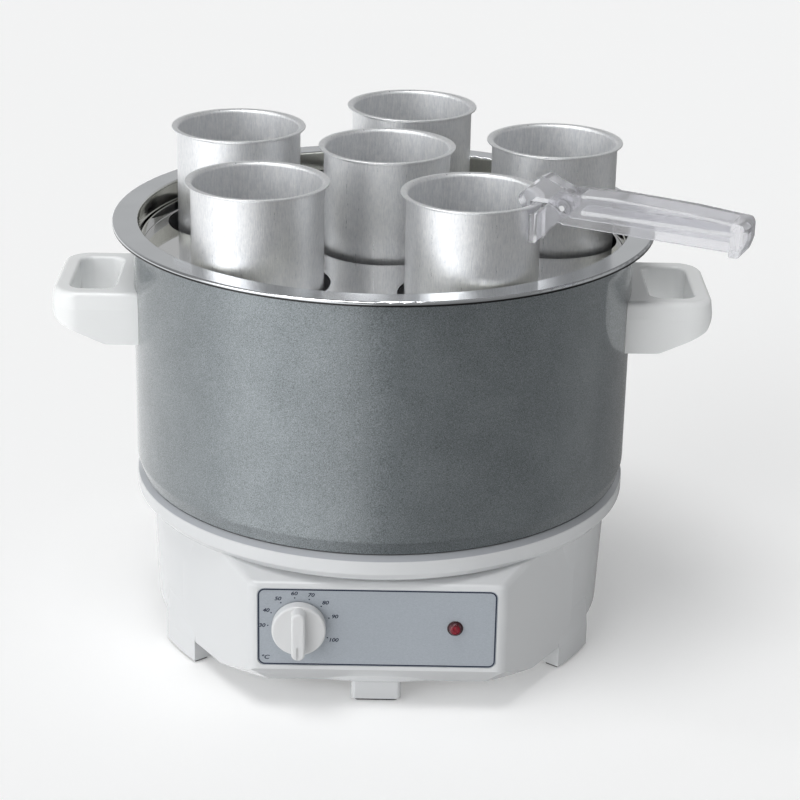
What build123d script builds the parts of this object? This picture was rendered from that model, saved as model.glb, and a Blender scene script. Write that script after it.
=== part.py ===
from build123d import *
from math import cos, degrees, radians, sin, sqrt, tan
import os

# Candle wax melter: a thermostat-controlled water bath in a painted jacket, with a rack of six
# wax cups and a clear clip-on pouring grip. Millimetres, +Z up, front towards -Y. The origin is
# the axis of the pot on the surface that it stands on.

# ---- Heights of the stack ----
FOOT_H = 17.0            # clear height under the base
PAD_T = 2.0              # rubber pad under each foot
BASE_H = 119.0           # surface to the deck that carries the jacket
JACKET_H = 180.8         # length of the jacket over its turned-in foot
CUP_PROUD = 49.5         # cup rims above the flange

# ---- Jacket: the other round parts follow its radius ----
JACKET_R = 176.0
JACKET_WALL = 1.0
JACKET_ROLL = 9.0        # radius that rolls the bottom edge in
JACKET_TUCK = 2.6        # how far that roll goes in
JACKET_FOOT_W = 9.0      # turned-in foot that is clamped on the deck
JACKET_FOOT_T = 1.0
GASKET_T = 1.0

# ---- Tank ----
SHEET = 1.2              # drawn stainless sheet
TANK_GAP = 1.8           # tank mouth to the jacket
FLANGE_OVERHANG = 14.0   # flange beyond the jacket
FLANGE_HEM = 3.2         # height of the turned-down edge
LEDGE_STEP = 3.0         # the wall steps in by this much to carry the rack
LEDGE_DROP = 23.0        # flange to ledge
TANK_CORNER = 6.0
MOUTH_ROUND = 1.6

# ---- Base moulding ----
WALL = 3.0
LIP_OVERHANG = 11.0      # lip beyond the body below it
BASE_DRAFT = 3.5         # the body draws in by this much down to the floor
BOTTOM_ROUND = 3.5
LIP_H = 22.0             # deck to the shadow line below the lip
LIP_BAND = 9.0           # upright band of the lip
LIP_CHAMFER = (3.5, 4.0)  # width, height
LIP_SHADOW = 4.0         # step in under the band
DECK_T = 3.0
DECK_LAP = 15.0          # the deck's hole is this much smaller than the floor's
FLOOR_T = 3.5
COVER_MARGIN = 26.0      # body's bottom edge to the cover
COVER_SEAT_W = 8.5
COVER_T = 1.2
COVER_RECESS = 1.5
SLOT_L = 34.0
SLOT_W = 4.0
SLOT_COLUMNS = 3
SLOT_ROWS = 8
SLOT_PITCH = (46.0, 12.0)
SLOT_FIRST_Y = -60.0

# ---- Console (front bulge with the control panel) ----
CONSOLE_SETBACK = 6.0    # panel face behind the jacket's front
CONSOLE_STEP = 1.0       # shadow line to the console's top
CONSOLE_MARGIN = 4.5     # either side of the fascia
CONSOLE_BEVEL_Z = 32.0   # the face bevels back below this height
CONSOLE_BEVEL = 14.0
CONSOLE_ROUND = 9.0
CONSOLE_TOP_ROUND = 4.0
CONSOLE_TANGENT = 33.0   # degrees from the X axis where the flanks leave the round body
CONSOLE_SKIRT = 11.0     # lower edge of the flanks beyond the body's bottom edge
CONSOLE_FLARE = 18.0     # further out again at the height of the bevel
PANEL_WALL = 4.0
FASCIA_W = 161.0
FASCIA_ABOVE = 3.7       # fascia to the console's top
FASCIA_BELOW = 2.9       # fascia to the bevel
FASCIA_T = 1.0
FASCIA_POCKET = 1.4
FASCIA_ROUND = 5.0
CONTROL_X = 52.5         # thermostat to the left, lamp to the right
CONTROL_RISE = 0.9       # above the middle of the fascia

# ---- Feet ----
FOOT_W = 34.0            # front and rear feet
FOOT_DEPTH = 15.0
FOOT_CORNER = 3.0
END_FOOT_SETBACK = 1.0   # behind the bevel's lower edge
SIDE_FOOT_SPAN = (23.0, 39.0)  # degrees from the X axis
SIDE_FOOT_PROUD = 4.0    # beyond the body's bottom edge
SIDE_FOOT_ROUND = 14.0   # corner away from the console
FOOT_ROOT_H = 24.0       # a foot runs up the wall this far and draws in to it
PAD_INSET = 2.0

# ---- Thermostat, knob and lamp ----
SHAFT_R = 3.0
RUNNING_FIT = 0.05
BUSH_R = 5.0
BUSH_NOSE = 4.0          # bush in front of the fascia
NUT_T = 2.4
NUT_FLATS = 14.0
THERMOSTAT_SIZE = (34.0, 26.0, 32.0)
BLADE = (6.3, 8.0, 0.8)
KNOB_R = 18.2
KNOB_T = 8.0
KNOB_GAP = 0.8
KNOB_EDGE = 1.6
KNOB_RECESS_R = 11.0
KNOB_RECESS = 4.2
KNOB_BAR_L = 36.0
KNOB_BAR_W = 10.6
KNOB_BAR_H = 9.6
POINTER_W = 2.0
POINTER_DEPTH = 1.2
POINTER_L = 11.0
SHAFT_ENGAGE = 9.0       # shaft in the knob
SHAFT_SEAT = 8.0         # shaft in the thermostat
LAMP_R = 4.6
LAMP_PROUD = 3.4
LAMP_BARREL = 20.0
LAMP_COLLAR_R = 5.4
LAMP_COLLAR_T = 0.8
LAMP_BLADE = (0.8, 8.0, 4.8)

# ---- Heater under the tank ----
STUD_R = 4.0
STUD_SPARE = 4.0         # stud below its nut
HEAT_PLATE_LAP = 8.0     # heat plate beyond the deck's hole
HEAT_PLATE_T = 4.0
REFLECTOR_H = 9.6        # chassis plate to heat plate
REFLECTOR_T = 0.8
REFLECTOR_RIM_W = 10.0
ELEMENT_INSET = 28.0     # centre line of the sheathed ring, in from the heat plate's edge
ELEMENT_W = 10.0
ELEMENT_T = 7.0
ELEMENT_OPEN = 34.0      # degrees left open between the cold ends
REAR = 90.0              # degrees from the X axis
COLD_END_R = 3.4
COLD_END_DROP = 16.0
CHASSIS_T = 1.2
WASHER_R = 15.0
WASHER_T = 1.6
STUD_NUT_H = 6.5
STUD_NUT_FLATS = 13.0
CUTOUT_R = 8.5
CUTOUT_CAP_T = 2.5
CUTOUT_AT = (42.0, -30.0)
BULB_R = 3.0
BULB_L = 56.0
CLIP_T = 0.8
CLIP_FOOT = 7.0
CLIP_W = 12.0
CAPILLARY_R = 1.0
CAPILLARY_BEND = 6.0
CAPILLARY_RUN = 10.0     # bulb end to the hole that the tube drops through
CAPILLARY_HOLE_R = 3.5
CAPILLARY_INSET = 9.6    # that hole inside the element's centre line
CAPILLARY_ANGLE = 209.0
CAPILLARY_LOOP = 17.5    # height of the run above the thermostat
GROMMET_LIP = 1.5

# ---- Side handles ----
HANDLE_TOP = 46.0        # flange to the handle's top face
HANDLE_REACH = 55.0      # out from the jacket
HANDLE_W = 97.0
HANDLE_ROOT_H = 37.0
HANDLE_TIP_H = 22.0
HANDLE_TIP_FACE = 7.0    # upright face below the tip's belt
HANDLE_FLAT = 17.0       # level part of the underside next to the jacket
HANDLE_CORNER = 20.0
HANDLE_EDGE = 4.0
HANDLE_BELT = 12.0       # the sides draw in above this depth
HANDLE_DRAFT = 7.0       # degrees
GRIP_HOLE_EDGE = 2.0
GRIP_HOLE_W = 31.0
GRIP_HOLE_L = 70.0
GRIP_HOLE_IN = 11.0      # web between jacket and finger hole
GRIP_HOLE_ROUND = 9.0
HANDLE_SCREW_Y = 24.0
HANDLE_SCREW_DROP = 19.0
HANDLE_SCREW_BITE = 6.6  # screw into the web

# ---- Cups and their rack ----
CUP_R = 44.2
CUP_FLARE = 3.7          # rim beyond the wall
CUP_WALL = 1.2
CUP_CORNER = 7.0
CUP_THROAT = 3.6         # inside radius below the rim
CUP_TO_TANK = 4.3        # outer cups' ring to the tank wall
RACK_T = 1.0
RACK_RIM_H = 7.0
RACK_GAP = 1.2           # rack to tank wall
CUP_HOLE_GAP = 3.8       # round each cup
CUP_DRIFT = 3.5          # how far a cup stands off the middle of its hole
# Cup name: place on the ring (degrees, None is the middle), and the way that it has drifted.
CUPS = {
    "cup_middle": (None, 67.0),
    "cup_rear": (82.4, -8.0),
    "cup_right": (10.4, 71.0),
    "cup_front_right": (-61.6, -74.0),
    "cup_front_left": (-133.6, -102.0),
    "cup_left": (154.4, -6.0),
}

# ---- Pouring grip, clipped to the rim of the front right cup ----
GRIP_CUP = "cup_front_right"
GRIP_ANGLE = -24.5       # degrees, the way that the grip points
PIVOT_OUT = 20.5         # pivot axis outside the cup wall
PIVOT_RISE = 0.5         # above the cup's rim
PIVOT_R = 2.0
BOSS_R = 10.0
BOSS_RING = (6.2, 4.0, 0.9)  # outer radius, inner radius, height
LEVER_W = 14.4
SIDE_PLAY = 0.25
ARM_L = 113.8            # pivot to the nose
ARM_WALL = 2.4
ARM_HALF_START = 10.0
ARM_HALF_END = 12.0
ARM_ABOVE = 10.3         # arm above the pivot axis
ARM_BELOW = 10.8
ARM_SAG = 1.6            # extra depth at the end
ARM_CROWN = ((34.0, 90.0), (30.0, 60.0))  # from either end: distance, radius
ARM_WEB_T = 3.0
RIB_PROUD = 0.6
ARM_FALL = 3.6           # the crown's drop at the end
RIB_INSET = 16.0         # rib ends to the ends of the handle
NOSE_L = 8.0             # beyond the end of the arm
NOSE_PROUD = 0.6         # wider than the arm
NOSE_SLANT = 4.0         # the nose draws back by this much down to its lip
NOSE_CHIN = 8.0          # height over which it does so
NOSE_TOP_ROUND = 6.5
NOSE_CORNER = 5.0
END_LIP = 3.0            # lip below the arm
OUTER_JAW_DROP = 25.0    # pivot to the lower end of the outer jaw
OUTER_JAW_T = 3.4
OUTER_JAW_TOP = 4.5      # below the rim
JAW_T = 6.8
JAW_DROP = 19.0          # pivot to the lower end of the inner jaw
JAW_PLAY = 0.3
RIM_PLAY = 1.8
RIM_RELIEF = 6.0         # depth of the flared rim's room in the jaws
SPRING_WIRE_R = 0.6
SPRING_R = 4.6
SPRING_WELL = 9.0
SPRING_TURNS = 4

# ---- Fasteners, inlet and small clearances ----
FIT = 0.3
SCREW_R = 2.0
SCREW_HEAD_R = 3.8
SCREW_HEAD_H = 2.2
SCREW_BOSS_R = 5.0
CHASSIS_SCREWS = 6
CHASSIS_SCREW_EDGE = 9.4  # in from the deck's hole
COVER_SCREWS = 6
GLAND_R = 8.0
GLAND_FLATS = 22.0
GLAND_HEX_T = 5.0
GLAND_DOME_L = 18.0
GLAND_BARREL = 22.0
GLAND_NUT_T = 4.0
GLAND_SEAT_R = 15.0
GLAND_SEAT_PROUD = 3.0
CORD_R = 3.6
TERMINAL_SIZE = (48.0, 20.0, 16.0)
TERMINAL_Y = 60.0
TERMINAL_PITCH = 15.0
TERMINAL_WELL_R = 2.6
TERMINAL_WIRE_R = 2.2

# ---- Derived heights ----
DECK_Z = BASE_H
JACKET_Z = DECK_Z + GASKET_T
CHASSIS_Z = JACKET_Z + JACKET_FOOT_T
CHASSIS_TOP_Z = CHASSIS_Z + CHASSIS_T
HEAT_PLATE_Z = CHASSIS_TOP_Z + REFLECTOR_H
TANK_BACK_Z = HEAT_PLATE_Z + HEAT_PLATE_T
FLOOR_Z = TANK_BACK_Z + SHEET
FLANGE_Z = JACKET_Z + JACKET_H + SHEET
LEDGE_Z = FLANGE_Z - LEDGE_DROP
CUP_Z = FLOOR_Z
CUP_RIM_Z = FLANGE_Z + CUP_PROUD
PIVOT_Z = CUP_RIM_Z + PIVOT_RISE
LIP_UNDER_Z = DECK_Z - LIP_H
CONSOLE_TOP = LIP_UNDER_Z - CONSOLE_STEP
FASCIA_LOW = CONSOLE_BEVEL_Z + FASCIA_BELOW
FASCIA_HIGH = CONSOLE_TOP - FASCIA_ABOVE
CONTROL_Z = (FASCIA_LOW + FASCIA_HIGH) / 2 + CONTROL_RISE
GLAND_Z = CONTROL_Z
CAPILLARY_Z = CONTROL_Z + THERMOSTAT_SIZE[2] / 2 + CAPILLARY_LOOP
COVER_Z = FOOT_H + COVER_RECESS - COVER_T
HANDLE_SCREW_Z = FLANGE_Z - HANDLE_TOP - HANDLE_SCREW_DROP
STUD_END_Z = CHASSIS_Z - WASHER_T - STUD_NUT_H - STUD_SPARE
BULB_Z = HEAT_PLATE_Z - BULB_R - RUNNING_FIT

# ---- Derived radii and plan places ----
JACKET_IN_R = JACKET_R - JACKET_WALL
JACKET_FOOT_R = JACKET_R - JACKET_TUCK
TANK_R = JACKET_IN_R - TANK_GAP - SHEET
LOW_R = TANK_R - LEDGE_STEP
FLANGE_R = JACKET_R + FLANGE_OVERHANG
BASE_TOP_R = JACKET_R - LIP_OVERHANG
BASE_BOTTOM_R = BASE_TOP_R - BASE_DRAFT
COVER_R = BASE_BOTTOM_R - COVER_MARGIN
FLOOR_HOLE_R = COVER_R - COVER_SEAT_W
DECK_HOLE_R = FLOOR_HOLE_R - DECK_LAP
CHASSIS_SCREW_R = DECK_HOLE_R + CHASSIS_SCREW_EDGE
COVER_SCREW_R = (FLOOR_HOLE_R + COVER_R) / 2
HEAT_PLATE_R = DECK_HOLE_R + HEAT_PLATE_LAP
ELEMENT_R = HEAT_PLATE_R - ELEMENT_INSET
CONSOLE_Y = JACKET_R - CONSOLE_SETBACK
CONSOLE_HALF_W = FASCIA_W / 2 + CONSOLE_MARGIN
PANEL_Y = -CONSOLE_Y + FASCIA_POCKET - FASCIA_T      # face of the fascia plate
PANEL_BACK_Y = -CONSOLE_Y + PANEL_WALL
KNOB_BACK_Y = PANEL_Y - KNOB_GAP
SHAFT_BACK_Y = PANEL_BACK_Y + SHAFT_SEAT
CUP_RIM_R = CUP_R + CUP_FLARE
CUP_RING_R = LOW_R - CUP_R - CUP_TO_TANK
PIVOT_X = CUP_R + PIVOT_OUT                          # in the grip's own frame


# ---------------------------------------------------------------- geometry helpers

def rounded_face(*corners):
    """Flat face with straight sides. Each corner is (x, y) or (x, y, radius)."""
    points = [Vector(c[0], c[1]) for c in corners]
    edges, last = [], None
    first = None
    for i, corner in enumerate(corners):
        here, before, after = points[i], points[i - 1], points[(i + 1) % len(points)]
        radius = corner[2] if len(corner) > 2 else 0
        start = end = here
        if radius:
            back, on = (before - here).normalized(), (after - here).normalized()
            half = radians(back.get_angle(on)) / 2
            reach = min(radius / tan(half), 0.49 * min((before - here).length, (after - here).length))
            radius = reach * tan(half)
            start, end = here + back * reach, here + on * reach
            middle = here + (back + on).normalized() * (radius / sin(half) - radius)
        if last is None:
            first = start
        elif (start - last).length > 1e-6:
            edges.append(Edge.make_line(last, start))
        if radius:
            edges.append(Edge.make_three_point_arc(start, middle, end))
        last = end
    if (first - last).length > 1e-6:
        edges.append(Edge.make_line(last, first))
    return Face(Wire(edges))


def turned(*corners):
    """Solid of revolution about Z from a section given as (radius, height, corner radius)."""
    return revolve(Plane.XZ * rounded_face(*corners), Axis.Z)


def upright(face, bottom, top):
    """A plan face made solid between two heights."""
    return extrude(Pos(0, 0, bottom) * face, top - bottom, dir=(0, 0, 1))


def across(face, low, high):
    """A side view, X and Z, made solid between two Y values."""
    return extrude(Pos(0, low, 0) * (Plane.XZ * face), high - low, dir=(0, 1, 0))


def rod(radius, start, end):
    """Round bar between two points."""
    start, end = Vector(*start), Vector(*end)
    return Solid.make_cylinder(radius, (end - start).length, Plane(start, z_dir=end - start))


def hexagon(flats, start, end):
    """Hexagonal bar between two points, measured over its flats."""
    start, end = Vector(*start), Vector(*end)
    face = Plane(start, z_dir=end - start) * RegularPolygon(flats / 2, 6, major_radius=False)
    return extrude(face, (end - start).length, dir=(end - start).normalized())


def polar(radius, angle):
    """Plan point at an angle in degrees from +X."""
    return radius * cos(radians(angle)), radius * sin(radians(angle))


def round_circle(radius, count, first=0.0):
    """Evenly spaced plan points on a circle."""
    return [polar(radius, first + 360.0 * i / count) for i in range(count)]


def body_radius(z):
    """Outside radius of the base's drafted wall at a height."""
    return BASE_BOTTOM_R + BASE_DRAFT * (z - FOOT_H) / (LIP_UNDER_Z - FOOT_H)


def group(solids):
    """Several separate solids kept together as one node."""
    return Compound([s for part in solids for s in part.solids()])


def one(part):
    """The single solid of a part."""
    return part.solids()[0]


# ---------------------------------------------------------------- tank, jacket and insulation

def tank():
    """Drawn stainless tank: flange with a turned-down edge, rack ledge and round floor corner."""
    back = SHEET
    return turned(
        (0, FLOOR_Z),
        (LOW_R, FLOOR_Z, TANK_CORNER),
        (LOW_R, LEDGE_Z, SHEET / 2),
        (TANK_R, LEDGE_Z),
        (TANK_R, FLANGE_Z, MOUTH_ROUND),
        (FLANGE_R, FLANGE_Z, MOUTH_ROUND),
        (FLANGE_R, FLANGE_Z - FLANGE_HEM),
        (FLANGE_R - back, FLANGE_Z - FLANGE_HEM),
        (FLANGE_R - back, FLANGE_Z - back),
        (TANK_R + back, FLANGE_Z - back),
        (TANK_R + back, LEDGE_Z - back),
        (LOW_R + back, LEDGE_Z - back),
        (LOW_R + back, TANK_BACK_Z, TANK_CORNER + back),
        (0, TANK_BACK_Z),
    )


def jacket():
    """Painted sheet jacket, rolled in at the bottom to a narrow foot, with the handle screw holes."""
    top = FLANGE_Z - SHEET
    roll_z = JACKET_Z + JACKET_ROLL + JACKET_FOOT_T
    shell = turned(
        (JACKET_R, top),
        (JACKET_R, roll_z, JACKET_ROLL),
        (JACKET_FOOT_R, JACKET_Z, JACKET_FOOT_T),
        (JACKET_FOOT_R - JACKET_FOOT_W, JACKET_Z),
        (JACKET_FOOT_R - JACKET_FOOT_W, JACKET_Z + JACKET_FOOT_T),
        (JACKET_FOOT_R - JACKET_WALL, JACKET_Z + JACKET_FOOT_T),
        (JACKET_IN_R, roll_z, JACKET_ROLL),
        (JACKET_IN_R, top),
    )
    for side, y in handle_screw_places():
        shell -= rod(SCREW_R + RUNNING_FIT, (side * (TANK_R - SHEET), y, HANDLE_SCREW_Z),
                     (side * (JACKET_R + SHEET), y, HANDLE_SCREW_Z))
    return shell


def insulation_blanket():
    """Glass-fibre wrap between tank and jacket, below the handle screws."""
    low = max(CHASSIS_TOP_Z + JACKET_ROLL + FIT, FLOOR_Z + TANK_CORNER)
    high = HANDLE_SCREW_Z - 2 * SCREW_HEAD_R
    inner, outer = LOW_R + SHEET + FIT, JACKET_IN_R - FIT
    return turned((inner, low), (outer, low), (outer, high), (inner, high))


def seat_gasket():
    """Flat ring that the jacket's foot stands on."""
    outer, inner = JACKET_R - LIP_CHAMFER[0] - JACKET_FOOT_T / 2, JACKET_FOOT_R - JACKET_FOOT_W
    return turned((inner, DECK_Z), (outer, DECK_Z), (outer, JACKET_Z), (inner, JACKET_Z))


# ---------------------------------------------------------------- base moulding

def base_body(inset):
    """The round body with its lip; an inset makes the cavity."""
    bottom = FOOT_H + (FLOOR_T if inset else 0)
    top = DECK_Z - (DECK_T if inset else 0)
    band_z = DECK_Z - LIP_CHAMFER[1]
    lip = JACKET_R - inset
    return turned(
        (0, bottom),
        (BASE_BOTTOM_R - inset, bottom, BOTTOM_ROUND - inset),
        (BASE_TOP_R - inset, LIP_UNDER_Z, 1.0),
        (lip - LIP_SHADOW, LIP_UNDER_Z + LIP_SHADOW, 1.0),
        (lip, band_z - LIP_BAND, 2.0),
        (lip, band_z - inset, 0),
        (lip - LIP_CHAMFER[0], top),
        (0, top),
    )


def console_plan(inset):
    """Plan of the console: a wide flat front and two flanks tangent to the round body."""
    root_x, root_y = polar(BASE_TOP_R - CONSOLE_STEP - inset, -CONSOLE_TANGENT)
    corner_x = CONSOLE_HALF_W - inset / 2
    front = PANEL_BACK_Y if inset else -CONSOLE_Y
    return rounded_face((-root_x, root_y), (-corner_x, front, CONSOLE_ROUND),
                        (corner_x, front, CONSOLE_ROUND), (root_x, root_y))


def console(inset):
    """The console's bulge: its top rises into the lip, its face bevels back below, its flanks draw in."""
    bottom = FOOT_H + (FLOOR_T if inset else 0)
    top = CONSOLE_TOP - inset
    front = PANEL_BACK_Y if inset else -CONSOLE_Y
    back = -BASE_TOP_R * sin(radians(CONSOLE_TANGENT))
    high = DECK_Z - LIP_CHAMFER[1] - inset
    block = upright(console_plan(inset), bottom, high)
    under_slope = rounded_face((0, bottom), (front, bottom), (front, top), (back, high), (0, high))
    block &= extrude(Plane.YZ * under_slope, CONSOLE_HALF_W * 2, both=True)
    if not inset:
        slope = block.faces().filter_by(lambda face: abs(face.normal_at().Z) > 0.9).sort_by(Axis.Y)[0]
        rim = slope.edges().filter_by(lambda edge: edge.center().Y < back)
        block = fillet(rim, CONSOLE_TOP_ROUND)
    bevel = rounded_face((0, FOOT_H), (front + CONSOLE_BEVEL, FOOT_H), (front, CONSOLE_BEVEL_Z),
                         (front, high), (0, high))
    block &= extrude(Plane.YZ * bevel, CONSOLE_HALF_W * 2, both=True)
    skirt = BASE_BOTTOM_R + CONSOLE_SKIRT - inset
    return block & turned((0, FOOT_H), (skirt, FOOT_H), (skirt + CONSOLE_FLARE, CONSOLE_BEVEL_Z),
                          (skirt + CONSOLE_FLARE, high), (0, high))


def side_foot_plan(inset):
    """Plan of the front right foot: a slice of the wall, well rounded away from the console."""
    inner = BASE_BOTTOM_R + SIDE_FOOT_PROUD - FOOT_DEPTH + inset
    outer = BASE_BOTTOM_R + SIDE_FOOT_PROUD + FOOT_CORNER
    turn = degrees(inset / outer)
    near, far = -SIDE_FOOT_SPAN[1] + turn, -SIDE_FOOT_SPAN[0] - turn
    return rounded_face(polar(inner, near) + (FOOT_CORNER,), polar(outer, near),
                        polar(outer, far) + (SIDE_FOOT_ROUND,), polar(inner, far) + (FOOT_CORNER,))


def feet(inset, bottom, top):
    """The six feet between two heights, set in from their outline."""
    outer = BASE_BOTTOM_R + SIDE_FOOT_PROUD - inset
    root_z = FOOT_H + FOOT_ROOT_H
    side = upright(side_foot_plan(inset), bottom, top)
    side &= turned((0, 0), (outer, 0), (outer, FOOT_H), (body_radius(root_z) - FIT, root_z), (0, root_z))
    pair = [side, mirror(side, about=Plane.YZ)]
    front = CONSOLE_BEVEL + END_FOOT_SETBACK - CONSOLE_Y + inset
    half, corner = FOOT_W / 2 - inset, FOOT_CORNER
    plan = rounded_face((-half, front, corner), (half, front, corner),
                        (half, front + FOOT_DEPTH - 2 * inset, corner),
                        (-half, front + FOOT_DEPTH - 2 * inset, corner))
    end = upright(plan, bottom, top)
    return pair + [end] + [mirror(foot, about=Plane.XZ) for foot in pair + [end]]


def base_housing():
    """Moulded base: body, lip, console, feet, deck, floor ring, bosses, panel holes and rear inlet."""
    outer = base_body(0) + console(0)
    for foot in feet(0, PAD_T, FOOT_H + FOOT_ROOT_H):
        outer += foot
    outer += rod(GLAND_SEAT_R, (0, BASE_BOTTOM_R - WALL, GLAND_Z), (0, gland_seat(), GLAND_Z))
    shell = outer - base_body(WALL) - console(WALL)
    shell -= rod(DECK_HOLE_R, (0, 0, DECK_Z - 2 * DECK_T), (0, 0, DECK_Z + DECK_T))
    shell -= rod(FLOOR_HOLE_R, (0, 0, 0), (0, 0, FOOT_H + 2 * FLOOR_T))
    shell -= rod(COVER_R + FIT, (0, 0, 0), (0, 0, FOOT_H + COVER_RECESS))
    for x, y in round_circle(CHASSIS_SCREW_R, CHASSIS_SCREWS, 30):
        shell += rod(SCREW_BOSS_R, (x, y, DECK_Z - DECK_T), (x, y, CHASSIS_Z))
        shell -= rod(SCREW_R + RUNNING_FIT, (x, y, DECK_Z - 2 * DECK_T), (x, y, CHASSIS_Z + 1))
    for x, y in round_circle(COVER_SCREW_R, COVER_SCREWS, 0):
        shell -= rod(SCREW_R + RUNNING_FIT, (x, y, FOOT_H), (x, y, FOOT_H + 2 * FLOOR_T))
    pocket = rounded_face(*fascia_corners(FIT / 2))
    shell -= across(pocket, -CONSOLE_Y - 1, -CONSOLE_Y + FASCIA_POCKET)
    for x, radius in ((-CONTROL_X, BUSH_R), (CONTROL_X, LAMP_R)):
        shell -= rod(radius + RUNNING_FIT, at_panel(x, -CONSOLE_Y - 1), at_panel(x, PANEL_BACK_Y + 1))
    shell -= rod(GLAND_R + RUNNING_FIT, (0, BASE_BOTTOM_R - 4 * WALL, GLAND_Z), (0, gland_seat() + 1, GLAND_Z))
    return shell


def fascia_corners(grow):
    """Corners of the fascia plate in the panel's X and Z."""
    half, low, high = FASCIA_W / 2 + grow, FASCIA_LOW - grow, FASCIA_HIGH + grow
    return [(-half, low, FASCIA_ROUND), (half, low, FASCIA_ROUND),
            (half, high, FASCIA_ROUND), (-half, high, FASCIA_ROUND)]


def fascia_plate():
    """Thin metal plate in the console's pocket, bored for the thermostat bush and the lamp."""
    plate = across(rounded_face(*fascia_corners(0)), PANEL_Y, PANEL_Y + FASCIA_T)
    for x, radius in ((-CONTROL_X, BUSH_R), (CONTROL_X, LAMP_R)):
        plate -= rod(radius + RUNNING_FIT, at_panel(x, PANEL_Y - 1), at_panel(x, PANEL_Y + 2 * FASCIA_T))
    return plate


def foot_pads():
    """Rubber pad under each foot."""
    return group(feet(PAD_INSET, 0, PAD_T))


def bottom_cover():
    """Steel disc that closes the base, with rows of air slots."""
    low, high = COVER_Z - 1, COVER_Z + 2 * COVER_T
    cover = rod(COVER_R, (0, 0, COVER_Z), (0, 0, COVER_Z + COVER_T))
    slot = upright(SlotOverall(SLOT_L, SLOT_W), low, high)
    for i in range(SLOT_COLUMNS):
        x = SLOT_PITCH[0] * (i - (SLOT_COLUMNS - 1) / 2)
        for j in range(SLOT_ROWS):
            cover -= Pos(x, SLOT_FIRST_Y + SLOT_PITCH[1] * j, 0) * slot
    for x, y in round_circle(COVER_SCREW_R, COVER_SCREWS, 0):
        cover -= rod(SCREW_R + RUNNING_FIT, (x, y, low), (x, y, high))
    return cover


# ---------------------------------------------------------------- fasteners

def screw(head_at, tip_at):
    """Pan-head screw from the seat of its head to its tip."""
    head_at, tip_at = Vector(*head_at), Vector(*tip_at)
    way = tip_at - head_at
    body = turned((0, -SCREW_HEAD_H), (SCREW_HEAD_R - SCREW_HEAD_H / 2, -SCREW_HEAD_H),
                  (SCREW_HEAD_R, -SCREW_HEAD_H / 2), (SCREW_HEAD_R, 0), (SCREW_R, 0),
                  (SCREW_R, way.length), (0, way.length))
    return Plane(head_at, z_dir=way) * body


def cover_screws():
    """Screws that hold the bottom cover to the floor ring."""
    return group(screw((x, y, COVER_Z), (x, y, FOOT_H + FLOOR_T))
                 for x, y in round_circle(COVER_SCREW_R, COVER_SCREWS, 0))


def chassis_screws():
    """Screws from below that clamp the deck, the jacket's foot and the chassis plate."""
    return group(screw((x, y, DECK_Z - DECK_T), (x, y, CHASSIS_TOP_Z + 1))
                 for x, y in round_circle(CHASSIS_SCREW_R, CHASSIS_SCREWS, 30))


def handle_screw_places():
    """Side and Y of each handle screw."""
    return [(side, y) for side in (-1, 1) for y in (-HANDLE_SCREW_Y, HANDLE_SCREW_Y)]


def handle_screws():
    """Screws from inside the jacket into the handle webs."""
    reach = HANDLE_SCREW_Y + SCREW_HEAD_R
    seat = sqrt(JACKET_IN_R ** 2 - reach ** 2) - RUNNING_FIT
    tip = sqrt(JACKET_R ** 2 - HANDLE_SCREW_Y ** 2) + HANDLE_SCREW_BITE
    return group(screw((side * seat, y, HANDLE_SCREW_Z), (side * tip, y, HANDLE_SCREW_Z))
                 for side, y in handle_screw_places())


# ---------------------------------------------------------------- heater

def chassis_plate():
    """Steel disc on the jacket's foot: it carries the heater and takes the stud nut."""
    radius = JACKET_FOOT_R - 2 * JACKET_WALL
    low, high = CHASSIS_Z - 1, CHASSIS_TOP_Z + 1
    plate = rod(radius, (0, 0, CHASSIS_Z), (0, 0, CHASSIS_TOP_Z))
    plate -= rod(STUD_R + RUNNING_FIT, (0, 0, low), (0, 0, high))
    for x, y in round_circle(CHASSIS_SCREW_R, CHASSIS_SCREWS, 30):
        plate -= rod(SCREW_R + RUNNING_FIT, (x, y, low), (x, y, high))
    for x, y in cold_end_places():
        plate -= rod(2 * COLD_END_R, (x, y, low), (x, y, high))
    return capillary_hole(plate, low, high)


def heat_reflector():
    """Pressed dish that throws heat up and holds the heat plate against the tank."""
    low, high = CHASSIS_TOP_Z, HEAT_PLATE_Z
    inner = HEAT_PLATE_R - REFLECTOR_RIM_W
    dish = turned(
        (STUD_R + RUNNING_FIT, low),
        (inner, low, 2.0),
        (inner, high - REFLECTOR_T),
        (HEAT_PLATE_R, high - REFLECTOR_T),
        (HEAT_PLATE_R, high),
        (inner - REFLECTOR_T, high),
        (inner - REFLECTOR_T, low + REFLECTOR_T, 1.2),
        (STUD_R + RUNNING_FIT, low + REFLECTOR_T),
    )
    for x, y in cold_end_places():
        dish -= rod(2 * COLD_END_R, (x, y, low - 1), (x, y, low + 2 * REFLECTOR_T))
    return capillary_hole(dish, low - 1, low + 2 * REFLECTOR_T)


def heat_plate():
    """Aluminium disc that spreads the element's heat over the tank's underside."""
    disc = rod(HEAT_PLATE_R, (0, 0, HEAT_PLATE_Z), (0, 0, TANK_BACK_Z))
    return disc - rod(STUD_R + FIT, (0, 0, HEAT_PLATE_Z - 1), (0, 0, TANK_BACK_Z + 1))


def cold_end_places():
    """Plan points of the element's two ends, at the rear."""
    return [polar(ELEMENT_R, REAR + side * ELEMENT_OPEN / 2) for side in (-1, 1)]


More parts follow.
